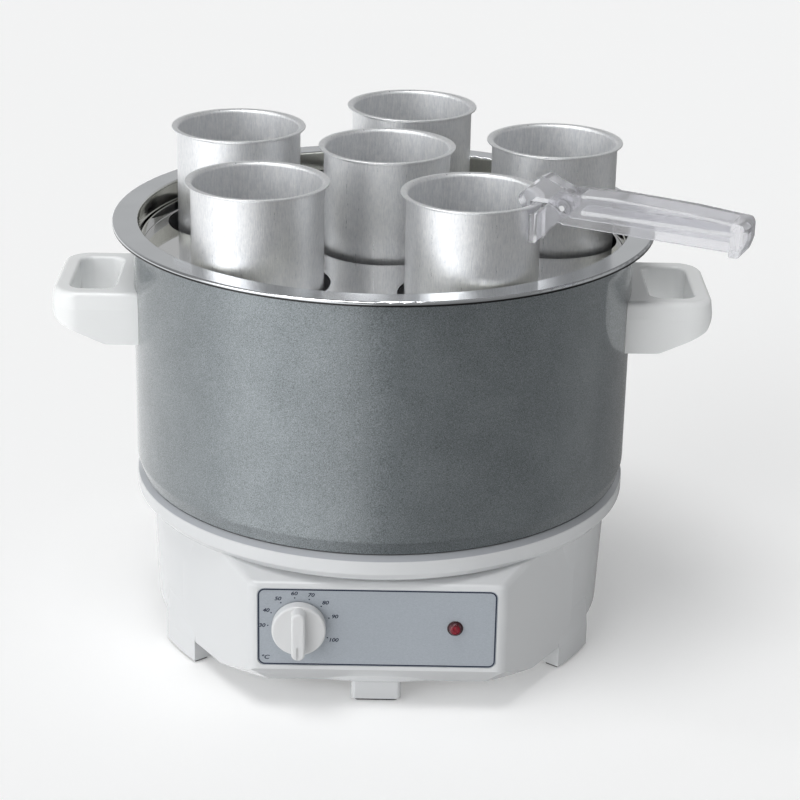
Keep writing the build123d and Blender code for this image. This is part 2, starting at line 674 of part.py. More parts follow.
def heating_element():
    """Sheathed ring element with a flat top, open at the rear where its ends turn down."""
    top = HEAT_PLATE_Z
    low, inner, outer = top - ELEMENT_T, ELEMENT_R - ELEMENT_W / 2, ELEMENT_R + ELEMENT_W / 2
    section = rounded_face((inner, low, 3.0), (outer, low, 3.0), (outer, top, 1.0), (inner, top, 1.0))
    start = REAR + ELEMENT_OPEN / 2
    ring = revolve(Rot(0, 0, start) * (Plane.XZ * section), Axis.Z, 360 - ELEMENT_OPEN)
    for x, y in cold_end_places():
        ring += rod(ELEMENT_W / 2, (x, y, low), (x, y, top))
        ring += rod(COLD_END_R, (x, y, CHASSIS_Z - COLD_END_DROP), (x, y, top - 1))
    return ring


def tank_stud():
    """Stud welded under the middle of the tank."""
    return rod(STUD_R, (0, 0, STUD_END_Z), (0, 0, TANK_BACK_Z))


def stud_nut():
    """Nut and washer that pull the tank down on the jacket."""
    washer_z = CHASSIS_Z - WASHER_T
    washer = rod(WASHER_R, (0, 0, washer_z), (0, 0, CHASSIS_Z))
    nut = hexagon(STUD_NUT_FLATS, (0, 0, washer_z - STUD_NUT_H), (0, 0, washer_z))
    bore = rod(STUD_R + RUNNING_FIT / 2, (0, 0, STUD_END_Z - 1), (0, 0, CHASSIS_Z + 1))
    return group([washer - bore, nut - bore])


def thermal_cutout():
    """Bimetal disc cut-out under the heat plate, with two blades."""
    x, y = CUTOUT_AT
    top = HEAT_PLATE_Z
    low = CHASSIS_TOP_Z + REFLECTOR_T + FIT
    can = rod(CUTOUT_R, (x, y, top - CUTOUT_CAP_T), (x, y, top))
    can += rod(CUTOUT_R - 1.2, (x, y, low + 1.5), (x, y, top))
    for side in (-1, 1):
        can += Pos(x + side * CUTOUT_R / 2, y, low) * Box(
            1.0, 5.0, 3.0, align=(Align.CENTER, Align.CENTER, Align.MIN))
    return can


def sensor_bulb():
    """Liquid-filled bulb of the thermostat, held under the heat plate."""
    x, y = capillary_place()
    start = x + CAPILLARY_RUN
    return rod(BULB_R, (start, y, BULB_Z), (start + BULB_L, y, BULB_Z))


def capillary_hole(part, low, high, radius=CAPILLARY_HOLE_R):
    """Cut the hole that the capillary drops through."""
    x, y = capillary_place()
    return part - rod(radius, (x, y, low), (x, y, high))


def capillary_place():
    """Plan point of that hole, inside the element's ring."""
    return polar(ELEMENT_R - CAPILLARY_INSET, CAPILLARY_ANGLE)


def capillary_tube():
    """Fine tube from the bulb down through the chassis and forward to the thermostat."""
    x, y = capillary_place()
    end_y = PANEL_BACK_Y + 0.75 * THERMOSTAT_SIZE[1]
    path = FilletPolyline((x + CAPILLARY_RUN, y, BULB_Z), (x, y, BULB_Z), (x, y, CAPILLARY_Z),
                          (-CONTROL_X, end_y, CAPILLARY_Z),
                          (-CONTROL_X, end_y, CAPILLARY_Z - CAPILLARY_LOOP), radius=CAPILLARY_BEND)
    section = Plane(path @ 0, z_dir=path % 0) * Circle(CAPILLARY_R)
    return sweep(section, path)


def grommet():
    """Rubber grommet for the capillary in the chassis plate."""
    x, y = capillary_place()
    low, high = CHASSIS_Z, CHASSIS_TOP_Z + GROMMET_LIP
    bore, neck, lip = CAPILLARY_R + RUNNING_FIT, CAPILLARY_HOLE_R - RUNNING_FIT, CAPILLARY_HOLE_R + GROMMET_LIP
    ring = turned((bore, low - GROMMET_LIP), (lip, low - GROMMET_LIP, 0.5), (lip, low), (neck, low),
                  (neck, high), (bore, high))
    return Pos(x, y, 0) * ring


def bulb_clip():
    """Strap that presses the bulb to the heat plate."""
    x, y = capillary_place()
    top = HEAT_PLATE_Z
    inner = BULB_R + RUNNING_FIT
    outer = inner + CLIP_T
    low = top - 2 * inner
    foot = outer + CLIP_FOOT
    face = rounded_face((y - foot, top - CLIP_T), (y - outer, top - CLIP_T), (y - outer, low - CLIP_T, outer),
                        (y + outer, low - CLIP_T, outer), (y + outer, top - CLIP_T), (y + foot, top - CLIP_T),
                        (y + foot, top), (y + inner, top), (y + inner, low, inner),
                        (y - inner, low, inner), (y - inner, top), (y - foot, top))
    start = x + CAPILLARY_RUN + (BULB_L - CLIP_W) / 2
    return extrude(Pos(start, 0, 0) * (Plane.YZ * face), CLIP_W, dir=(1, 0, 0))


# ---------------------------------------------------------------- thermostat, lamp and inlet

def at_panel(x, y):
    """A point on a control's axis, which runs along Y."""
    return (x, y, CONTROL_Z)


def thermostat_body():
    """Capillary thermostat behind the panel: case, bush and terminals, bored for its shaft."""
    wide, deep, tall = THERMOSTAT_SIZE
    case = across(rounded_face((-wide / 2, -tall / 2, 2), (wide / 2, -tall / 2, 2),
                               (wide / 2, tall / 2, 2), (-wide / 2, tall / 2, 2)), 0, deep)
    body = Pos(-CONTROL_X, PANEL_BACK_Y, CONTROL_Z) * case
    body += rod(BUSH_R, at_panel(-CONTROL_X, PANEL_Y - BUSH_NOSE), at_panel(-CONTROL_X, PANEL_BACK_Y + 1))
    for side in (-1, 1):
        body += Pos(-CONTROL_X + side * wide / 4, PANEL_BACK_Y + deep, CONTROL_Z) * Box(
            *BLADE, align=(Align.CENTER, Align.MIN, Align.CENTER))
    return body - rod(SHAFT_R + RUNNING_FIT, at_panel(-CONTROL_X, PANEL_Y - 2 * BUSH_NOSE),
                      at_panel(-CONTROL_X, SHAFT_BACK_Y + FIT))


def thermostat_nut():
    """Thin nut that holds the bush to the panel, hidden in the knob's recess."""
    nut = hexagon(NUT_FLATS, at_panel(-CONTROL_X, PANEL_Y - NUT_T), at_panel(-CONTROL_X, PANEL_Y))
    return nut - rod(BUSH_R + RUNNING_FIT / 2, at_panel(-CONTROL_X, PANEL_Y - 2 * NUT_T),
                     at_panel(-CONTROL_X, PANEL_Y + 1))


def thermostat_shaft():
    """Shaft with a flat, which turns with the knob."""
    front = KNOB_BACK_Y - KNOB_RECESS - SHAFT_ENGAGE
    shaft = rod(SHAFT_R, at_panel(-CONTROL_X, front), at_panel(-CONTROL_X, SHAFT_BACK_Y))
    return shaft - shaft_flat(0.0, front)


def shaft_flat(play, front):
    """The cut that makes the shaft's flat, above the axis, over the length inside the knob."""
    length = SHAFT_ENGAGE
    return Pos(-CONTROL_X, front - 1, CONTROL_Z + SHAFT_R / 2 + play) * Box(
        4 * SHAFT_R, length + 1, SHAFT_R, align=(Align.CENTER, Align.MIN, Align.MIN))


def thermostat_knob():
    """Round knob with a raised grip bar; the notch at the bar's lower end is the pointer."""
    y = KNOB_BACK_Y
    disc = rod(KNOB_R, at_panel(-CONTROL_X, y), at_panel(-CONTROL_X, y - KNOB_T))
    disc = fillet(disc.edges().filter_by(GeomType.CIRCLE).sort_by(Axis.Y)[0:1], KNOB_EDGE)
    half_l, half_w = KNOB_BAR_L / 2, KNOB_BAR_W / 2
    end_round = 0.98 * half_w
    bar = extrude(Plane.XZ * rounded_face(
        (-half_w, -half_l, end_round), (half_w, -half_l, end_round),
        (half_w, half_l, end_round), (-half_w, half_l, end_round)), KNOB_BAR_H + KNOB_T, taper=2.5)
    bar = fillet(bar.faces().sort_by(Axis.Y)[0].edges(), KNOB_EDGE)
    knob = disc + Pos(-CONTROL_X, y, CONTROL_Z) * bar
    notch = Pos(-CONTROL_X, y - KNOB_T - KNOB_BAR_H, CONTROL_Z - half_l) * Box(
        POINTER_W, 2 * POINTER_DEPTH, 2 * POINTER_L)
    knob -= notch
    knob -= rod(KNOB_RECESS_R, at_panel(-CONTROL_X, y + 1), at_panel(-CONTROL_X, y - KNOB_RECESS))
    front = y - KNOB_RECESS - SHAFT_ENGAGE
    bore = rod(SHAFT_R + RUNNING_FIT / 2, at_panel(-CONTROL_X, front - FIT), at_panel(-CONTROL_X, y))
    return knob - (bore - shaft_flat(RUNNING_FIT / 2, front))


def pilot_lamp_lens():
    """Domed red lens, pushed into the panel."""
    y = PANEL_Y
    dome = turned((0, 0), (LAMP_COLLAR_R, 0), (LAMP_COLLAR_R, LAMP_COLLAR_T, LAMP_COLLAR_T / 2),
                  (LAMP_R, LAMP_COLLAR_T), (LAMP_R * 0.8, LAMP_PROUD, 2.2), (0, LAMP_PROUD))
    dome += rod(LAMP_R, (0, 0, y - PANEL_BACK_Y), (0, 0, 0))
    return Pos(CONTROL_X, y, CONTROL_Z) * (Rot(90, 0, 0) * dome)


def pilot_lamp_body():
    """Neon holder clipped behind the panel, with its two blades."""
    body = rod(LAMP_R, at_panel(CONTROL_X, PANEL_BACK_Y), at_panel(CONTROL_X, PANEL_BACK_Y + LAMP_BARREL))
    body += rod(LAMP_COLLAR_R + 1, at_panel(CONTROL_X, PANEL_BACK_Y), at_panel(CONTROL_X, PANEL_BACK_Y + 2))
    for side in (-1, 1):
        body += Pos(CONTROL_X + side * 2.6, PANEL_BACK_Y + LAMP_BARREL, CONTROL_Z) * Box(
            *LAMP_BLADE, align=(Align.CENTER, Align.MIN, Align.CENTER))
    return body


def terminal_block():
    """Ceramic block on the bottom cover, with three screw wells."""
    seat = COVER_Z + COVER_T
    wide, deep, tall = TERMINAL_SIZE
    block = Pos(0, TERMINAL_Y, seat) * Box(wide, deep, tall, align=(Align.CENTER, Align.CENTER, Align.MIN))
    for x in (-TERMINAL_PITCH, 0.0, TERMINAL_PITCH):
        block -= rod(TERMINAL_WELL_R, (x, TERMINAL_Y, seat + tall / 2), (x, TERMINAL_Y, seat + tall + 1))
        block -= rod(TERMINAL_WIRE_R, (x, TERMINAL_Y - deep, seat + 0.4 * tall),
                     (x, TERMINAL_Y + deep, seat + 0.4 * tall))
    return block


def gland_seat():
    """Y of the flat pad round the gland, just outside the wall."""
    return body_radius(GLAND_Z) + GLAND_SEAT_PROUD


def cord_gland():
    """Cable gland at the rear: barrel, hexagon and domed nut round the cord's hole."""
    seat, hex_y = gland_seat(), gland_seat() + GLAND_HEX_T
    gland = hexagon(GLAND_FLATS, (0, seat, GLAND_Z), (0, hex_y, GLAND_Z))
    gland += rod(GLAND_R, (0, seat - GLAND_BARREL, GLAND_Z), (0, seat, GLAND_Z))
    dome = turned((0, 0), (GLAND_FLATS / 2 - 1, 0), (GLAND_FLATS / 2 - 1, 0.45 * GLAND_DOME_L, 2),
                  (CORD_R + 2.2, GLAND_DOME_L, 1.5), (0, GLAND_DOME_L))
    gland += Pos(0, hex_y, GLAND_Z) * (Rot(-90, 0, 0) * dome)
    return gland - rod(CORD_R, (0, seat - GLAND_BARREL - 1, GLAND_Z), (0, hex_y + GLAND_DOME_L + 1, GLAND_Z))


def gland_nut():
    """Lock nut of the gland, inside the wall."""
    face = sqrt((body_radius(GLAND_Z) - WALL) ** 2 - (GLAND_FLATS / 2) ** 2) - 1.0
    nut = hexagon(GLAND_FLATS, (0, face - GLAND_NUT_T, GLAND_Z), (0, face, GLAND_Z))
    return nut - rod(GLAND_R + RUNNING_FIT / 2, (0, face - GLAND_NUT_T - 1, GLAND_Z), (0, face + 1, GLAND_Z))


# ---------------------------------------------------------------- side handles

def handle():
    """Moulded bucket handle on the +X side: sloping underside, round corners, finger hole."""
    top = FLANGE_Z - HANDLE_TOP
    low, tip_low = top - HANDLE_ROOT_H, top - HANDLE_TIP_H
    belt = top - HANDLE_BELT
    root, out, half = JACKET_R * 0.9, JACKET_R + HANDLE_REACH, HANDLE_W / 2
    plan = rounded_face((root, -half), (out, -half, HANDLE_CORNER), (out, half, HANDLE_CORNER), (root, half))
    upper = extrude(Pos(0, 0, belt) * plan, HANDLE_BELT, dir=(0, 0, 1), taper=HANDLE_DRAFT)
    body = upright(plan, low, belt) + upper
    body = fillet(body.faces().sort_by(Axis.Z)[-1].edges().filter_by(
        lambda e: e.center().X > JACKET_R * 0.95), HANDLE_EDGE)
    under = across(rounded_face((0, low), (JACKET_R + HANDLE_FLAT, low, 2 * HANDLE_EDGE),
                                (out - HANDLE_EDGE, tip_low, 6), (out, tip_low + HANDLE_TIP_FACE, 5),
                                (out, top + 1), (0, top + 1)), -HANDLE_W, HANDLE_W)
    body &= under
    inner, outer = JACKET_R + GRIP_HOLE_IN, JACKET_R + GRIP_HOLE_IN + GRIP_HOLE_W
    hole = rounded_face((inner, -GRIP_HOLE_L / 2, GRIP_HOLE_ROUND), (outer, -GRIP_HOLE_L / 2, GRIP_HOLE_ROUND),
                        (outer, GRIP_HOLE_L / 2, GRIP_HOLE_ROUND), (inner, GRIP_HOLE_L / 2, GRIP_HOLE_ROUND))
    body -= upright(hole, low - 1, top + 1)
    rim = body.faces().sort_by(Axis.Z)[-1].inner_wires()[0].edges()
    body = fillet(rim, GRIP_HOLE_EDGE)
    body -= rod(JACKET_R + RUNNING_FIT, (0, 0, low - 1), (0, 0, top + 1))
    for y in (-HANDLE_SCREW_Y, HANDLE_SCREW_Y):
        tip = sqrt(JACKET_R ** 2 - HANDLE_SCREW_Y ** 2) + HANDLE_SCREW_BITE + 1
        body -= rod(SCREW_R + RUNNING_FIT / 2, (root, y, HANDLE_SCREW_Z), (tip, y, HANDLE_SCREW_Z))
    return one(body)


# ---------------------------------------------------------------- rack and cups

def cup_centre(name, drift=CUP_DRIFT):
    """Plan position of a cup's axis."""
    place, way = CUPS[name]
    ring = polar(0.0 if place is None else CUP_RING_R, place or 0.0)
    off = polar(drift, way)
    return ring[0] + off[0], ring[1] + off[1]


def insert_plate():
    """Polished rack with an upturned rim and a hole for each cup."""
    low = LEDGE_Z
    outer = TANK_R - RACK_GAP
    plate = turned((0, low), (outer, low, 0.5), (outer, low + RACK_T + RACK_RIM_H),
                   (outer - RACK_T, low + RACK_T + RACK_RIM_H), (outer - RACK_T, low + RACK_T, 0.5),
                   (0, low + RACK_T))
    for name in CUPS:
        x, y = cup_centre(name, 0.0)
        plate -= rod(CUP_R + CUP_HOLE_GAP, (x, y, low - 1), (x, y, low + 2 * RACK_T))
    return plate


def cup(name):
    """Spun aluminium cup with a flared rim."""
    x, y = cup_centre(name)
    inner = CUP_R - CUP_WALL
    shell = turned(
        (0, CUP_Z),
        (CUP_R, CUP_Z, CUP_CORNER),
        (CUP_R, CUP_RIM_Z - CUP_WALL, CUP_THROAT - CUP_WALL),
        (CUP_RIM_R, CUP_RIM_Z - CUP_WALL, CUP_WALL / 3),
        (CUP_RIM_R, CUP_RIM_Z, CUP_WALL / 3),
        (inner, CUP_RIM_Z, CUP_THROAT),
        (inner, CUP_Z + CUP_WALL, CUP_CORNER - CUP_WALL),
        (0, CUP_Z + CUP_WALL),
    )
    return Pos(x, y, 0) * shell


# ---------------------------------------------------------------- pouring grip
# Built with the cup's axis at the origin and the arm along +X, then turned into place.

def in_place(part):
    """Turn a grip piece from its own frame to the cup that it is clipped to."""
    x, y = cup_centre(GRIP_CUP)
    return Pos(x, y, 0) * (Rot(0, 0, GRIP_ANGLE) * part)


def tapered_sides(x0, x1, half0, half1, bottom, top):
    """Plan wedge between two X values, symmetrical about Y."""
    return upright(rounded_face((x0, -half0), (x1, -half1), (x1, half1), (x0, half0)), bottom, top)


def arm_side(start, end, drop, floor_z):
    """Side view of the arm's crowned top, lowered by a wall, down to a level or sagging floor."""
    high = PIVOT_Z + ARM_ABOVE - drop
    (rise_at, rise_round), (fall_at, fall_round) = ARM_CROWN
    return rounded_face((start, floor_z), (end, floor_z - ARM_SAG), (end, high - ARM_FALL),
                        (end - fall_at, high - 1.0, fall_round), (start + rise_at, high + 1.0, rise_round),
                        (start, high - 0.3))


def arm_band(half_start, half_end, low, high):
    """Slab of the arm's tapered plan between two heights."""
    return tapered_sides(PIVOT_X, PIVOT_X + ARM_L, ARM_HALF_START + half_start,
                         ARM_HALF_END + half_end, low, high)


def arm_handle():
    """The arm's channelled handle: crowned top, drafted sides, a mid web and a rib along each side."""
    start, end, z = PIVOT_X + BOSS_R, PIVOT_X + ARM_L, PIVOT_Z
    low, high, wide = z - ARM_BELOW, z + ARM_ABOVE, 2 * ARM_HALF_END
    outer = across(arm_side(PIVOT_X, end, 0, low), -wide, wide) & arm_band(0, 0, low - wide, high + wide)
    hollow = across(arm_side(start, end - ARM_WALL, ARM_WALL, low - wide), -wide, wide)
    arm = outer - (hollow & arm_band(-ARM_WALL, -ARM_WALL, low - 2 * wide, high))
    web = arm_band(-1, -1, z - ARM_WEB_T, z) & across(arm_side(start, end, ARM_WALL / 2, low), -wide, wide)
    arm += web
    rib_start, rib_end = start + RIB_INSET, end - RIB_INSET
    rib = across(rounded_face((rib_start, z - 1.5, 1), (rib_end, z - 3.2, 1), (rib_end, z + 0.6, 1),
                              (rib_start, z + 2.6, 1)), -wide, wide)
    rib &= arm_band(RIB_PROUD, RIB_PROUD, low, high)
    return arm + (rib - arm_band(-1, -1, low - 1, high + 1))


def grip_arm():
    """Clear moulded arm: clevis ears, outer jaw, channelled handle and nose."""
    z, half = PIVOT_Z, LEVER_W / 2 + SIDE_PLAY
    arm = arm_handle() + boss_ears() + outer_jaw()
    low, high = z - BOSS_R - 3, z + BOSS_R + 4
    slot_start, slot_end = PIVOT_X - BOSS_R - 1.2, PIVOT_X + BOSS_R + 2.5
    arm -= across(rounded_face((slot_start, low), (slot_end, low), (slot_end, high), (slot_start, high)),
                  -half, half)
    arm += end_nose()
    arm -= rod(PIVOT_R + RUNNING_FIT, (PIVOT_X, -2 * ARM_HALF_END, z), (PIVOT_X, 2 * ARM_HALF_END, z))
    arm -= rod(CUP_R + FIT, (0, 0, z - 2 * OUTER_JAW_DROP), (0, 0, CUP_RIM_Z - RIM_RELIEF))
    arm -= rod(CUP_RIM_R + FIT, (0, 0, CUP_RIM_Z - RIM_RELIEF), (0, 0, z + OUTER_JAW_DROP))
    return one(in_place(arm))


def boss_ears():
    """The two round ears of the clevis, each with a raised ring."""
    ring_out, ring_in, proud = BOSS_RING
    ears = rod(BOSS_R, (PIVOT_X, -ARM_HALF_START, PIVOT_Z), (PIVOT_X, ARM_HALF_START, PIVOT_Z))
    for side in (-1, 1):
        face, top = side * ARM_HALF_START, side * (ARM_HALF_START + proud)
        ring = rod(ring_out, (PIVOT_X, face, PIVOT_Z), (PIVOT_X, top, PIVOT_Z))
        ears += ring - rod(ring_in, (PIVOT_X, face, PIVOT_Z), (PIVOT_X, top + side, PIVOT_Z))
    return ears


def outer_jaw():
    """Two gusset cheeks that run from the boss to a pad curved to the cup's wall."""
    wall, z = CUP_R + FIT, PIVOT_Z
    back = wall + OUTER_JAW_T
    low, top = z - OUTER_JAW_DROP, CUP_RIM_Z - OUTER_JAW_TOP
    gusset = rounded_face((wall - 6, low), (back, low), (PIVOT_X - 3, z - BOSS_R + 0.4), (PIVOT_X + 4, z - 3),
                          (PIVOT_X - BOSS_R + 1, z + 3), (back + 1, top), (wall - 6, top))
    half, gap = ARM_HALF_START + 1.5, LEVER_W / 2 + SIDE_PLAY
    inside = rounded_face((back, low - 1), (PIVOT_X + BOSS_R, low - 1), (PIVOT_X + BOSS_R, z + BOSS_R),
                          (back, z + BOSS_R))
    return across(gusset, -half, half) - across(inside, -gap, gap)


def end_nose():
    """Rounded nose that closes the arm's end and slants back to a lip below it."""
    end, half = PIVOT_X + ARM_L, ARM_HALF_END + NOSE_PROUD
    low, high = PIVOT_Z - ARM_BELOW - ARM_SAG, PIVOT_Z + ARM_ABOVE - ARM_FALL
    back, tip, lip_z = end - ARM_WALL, end + NOSE_L, low - END_LIP
    side = rounded_face((back, lip_z, 1), (tip - NOSE_SLANT, lip_z, 1.5), (tip, low + NOSE_CHIN, NOSE_CHIN),
                        (tip, high - 0.5, NOSE_TOP_ROUND), (back, high))
    plan = rounded_face((back, -half), (tip, -half, NOSE_CORNER), (tip, half, NOSE_CORNER), (back, half))
    return across(side, -half, half) & upright(plan, lip_z - 1, high + 1)


def grip_lever():
    """Clear sprung lever: inner jaw, bridge over the rim, hub and thumb tab."""
    z = PIVOT_Z
    wall = CUP_R - CUP_WALL
    back = wall - JAW_T
    bridge = CUP_RIM_Z + RIM_PLAY
    side = rounded_face(
        (back, z - JAW_DROP, 2.5), (wall, z - JAW_DROP, 1.5), (wall, bridge, 1.0),
        (PIVOT_X - 8.6, bridge), (PIVOT_X, z - 8.2, 8), (PIVOT_X + 8.2, z, 6), (PIVOT_X + 6, z + 8, 2),
        (PIVOT_X + 3, z + 10.4, 2), (PIVOT_X - 14, z + 18.2, 2), (PIVOT_X - 20.5, z + 15.0, 2),
        (PIVOT_X - 20, z + 11.0, 2), (wall - 4, z + 9.5, 6), (back - 3.5, z + 3, 5), (back, z - 3, 4))
    lever = across(side, -LEVER_W / 2, LEVER_W / 2)
    low = z - 2 * JAW_DROP
    lever -= turned((wall - JAW_PLAY, low), (CUP_RIM_R + FIT, low), (CUP_RIM_R + FIT, bridge),
                    (wall - JAW_PLAY, bridge))
    well = SPRING_R + 2 * SPRING_WIRE_R + FIT
    lever -= rod(well, (PIVOT_X, -SPRING_WELL / 2, z), (PIVOT_X, SPRING_WELL / 2, z))
    lever -= rod(PIVOT_R + RUNNING_FIT, (PIVOT_X, -LEVER_W, z), (PIVOT_X, LEVER_W, z))
    return one(in_place(lever))


def grip_pin():
    """Pivot pin through the clevis, a running fit in both."""
    reach = ARM_HALF_START + 0.4
    return in_place(rod(PIVOT_R, (PIVOT_X, -reach, PIVOT_Z), (PIVOT_X, reach, PIVOT_Z)))


def grip_spring():
    """Torsion spring on the pin, in the lever's well."""
    length = SPRING_WELL - 4 * SPRING_WIRE_R
    path = Edge.make_helix(length / SPRING_TURNS, length, SPRING_R - SPRING_WIRE_R)
    section = Plane(path @ 0, z_dir=path % 0) * Circle(SPRING_WIRE_R)
    coil = sweep(section, path)
    return in_place(Pos(PIVOT_X, length / 2, PIVOT_Z) * (Rot(90, 0, 0) * coil))


def nodes():
    """Every piece, by node name."""
    right = handle()
    built = {
        "tank": tank(), "jacket": jacket(), "insulation_blanket": insulation_blanket(),
        "seat_gasket": seat_gasket(), "base_housing": base_housing(), "fascia_plate": fascia_plate(),
        "foot_pads": foot_pads(), "bottom_cover": bottom_cover(), "cover_screws": cover_screws(),
        "chassis_plate": chassis_plate(), "chassis_screws": chassis_screws(),
        "heat_reflector": heat_reflector(), "heat_plate": heat_plate(), "heating_element": heating_element(),
        "tank_stud": tank_stud(), "stud_nut": stud_nut(), "thermal_cutout": thermal_cutout(),
        "sensor_bulb": sensor_bulb(), "bulb_clip": bulb_clip(), "capillary_tube": capillary_tube(),
        "capillary_grommet": grommet(),
        "thermostat_body": thermostat_body(), "thermostat_nut": thermostat_nut(),
        "thermostat_shaft": thermostat_shaft(), "thermostat_knob": thermostat_knob(),
        "pilot_lamp_lens": pilot_lamp_lens(), "pilot_lamp_body": pilot_lamp_body(),
        "terminal_block": terminal_block(), "cord_gland": cord_gland(), "gland_nut": gland_nut(),
        "handle_right": right, "handle_left": mirror(right, about=Plane.YZ), "handle_screws": handle_screws(),
        "insert_plate": insert_plate(),
        "grip_arm": grip_arm(), "grip_lever": grip_lever(), "grip_pin": grip_pin(),
        "grip_spring": grip_spring(),
    }
    for name in CUPS:
        built[name] = cup(name)
    return built


os.makedirs("parts", exist_ok=True)
for node, shape in nodes().items():
    export_step(shape, f"parts/{node}.step")
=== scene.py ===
import math

import bpy
from mathutils import Matrix, Vector


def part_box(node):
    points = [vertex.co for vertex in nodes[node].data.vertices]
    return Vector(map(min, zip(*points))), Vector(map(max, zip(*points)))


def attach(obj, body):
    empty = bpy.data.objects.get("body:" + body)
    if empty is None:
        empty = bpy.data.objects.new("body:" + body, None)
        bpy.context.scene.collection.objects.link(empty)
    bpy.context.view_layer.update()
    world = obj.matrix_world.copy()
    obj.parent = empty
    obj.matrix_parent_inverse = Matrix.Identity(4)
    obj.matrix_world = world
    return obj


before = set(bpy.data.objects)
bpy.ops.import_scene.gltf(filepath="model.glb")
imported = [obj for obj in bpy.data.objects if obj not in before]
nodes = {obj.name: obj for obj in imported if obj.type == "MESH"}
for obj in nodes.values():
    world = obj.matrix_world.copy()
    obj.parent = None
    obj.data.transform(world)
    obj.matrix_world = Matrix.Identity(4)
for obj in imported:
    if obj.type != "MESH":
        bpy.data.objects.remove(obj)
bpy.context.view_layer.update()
MM = 0.001

# Colours in linear light. Where a surface has a dark and a light one, its grain runs between them.
CUP_DARK, CUP_LIGHT = (0.80, 0.815, 0.84), (1.0, 1.0, 1.0)
TANK_DARK, TANK_LIGHT = (0.64, 0.655, 0.675), (0.78, 0.795, 0.815)
# The second colour on the next line is painted shade: black along the lower edge of the tank's hem,
# standing in for the shadow and dark reflection under the flange.
TANK_STRAW, TANK_PAINTED_SHADE = (0.80, 0.785, 0.64), (0.04, 0.04, 0.04)
RACK_DARK, RACK_LIGHT = (0.66, 0.66, 0.66), (0.76, 0.76, 0.76)
JACKET_DARK, JACKET_LIGHT = (0.108, 0.126, 0.134), (0.33, 0.362, 0.38)
FASCIA_DARK, FASCIA_LIGHT = (0.36, 0.395, 0.435), (0.45, 0.485, 0.53)
LENS_LIGHT, LENS_DARK, LENS_RIM = (0.33, 0.002, 0.022), (0.14, 0.0, 0.007), (0.035, 0.0, 0.004)
BASE_WHITE, BASE_RIM_GREY = (0.66, 0.67, 0.68), (0.38, 0.395, 0.42)
HANDLE_WHITE, KNOB_WHITE = (0.87, 0.88, 0.88), (0.68, 0.685, 0.69)
GRIP_CLEAR = (0.85, 0.85, 0.88, 1)
NAVY = (0.012, 0.02, 0.05)
FLOOR_DARK, FLOOR_LIGHT = (0.825, 0.825, 0.825), (0.835, 0.835, 0.835)
WALL_GLOW = (0.985, 1.0, 0.995, 1)
ROOM_GLOW = (0.985, 0.995, 1.0, 1)


# ---------------------------------------------------------------- building blocks

def towards(azimuth, elevation=0.0):
    """Direction at degrees right of the front and degrees above the horizon."""
    a, e = math.radians(azimuth), math.radians(elevation)
    return Vector((math.sin(a) * math.cos(e), -math.cos(a) * math.cos(e), math.sin(e)))


def darker(colour, share):
    return tuple(channel * share for channel in colour)


def circle(radius, count, x=0.0, y=0.0):
    """Points round a circle."""
    turns = [math.tau * i / count for i in range(count)]
    return [(x + radius * math.cos(turn), y + radius * math.sin(turn)) for turn in turns]


def loop_faces(count):
    """Quads between a closed loop of points and a second loop of as many."""
    return [(i, (i + 1) % count, count + (i + 1) % count, count + i) for i in range(count)]


def add(name, data):
    """A new object in the scene."""
    made = bpy.data.objects.new(name, data)
    bpy.context.scene.collection.objects.link(made)
    return made


def add_mesh(name, points, faces, material):
    mesh = bpy.data.meshes.new(name)
    mesh.from_pydata(points, [], faces)
    mesh.update()
    mesh.materials.append(material)
    return add(name, mesh)


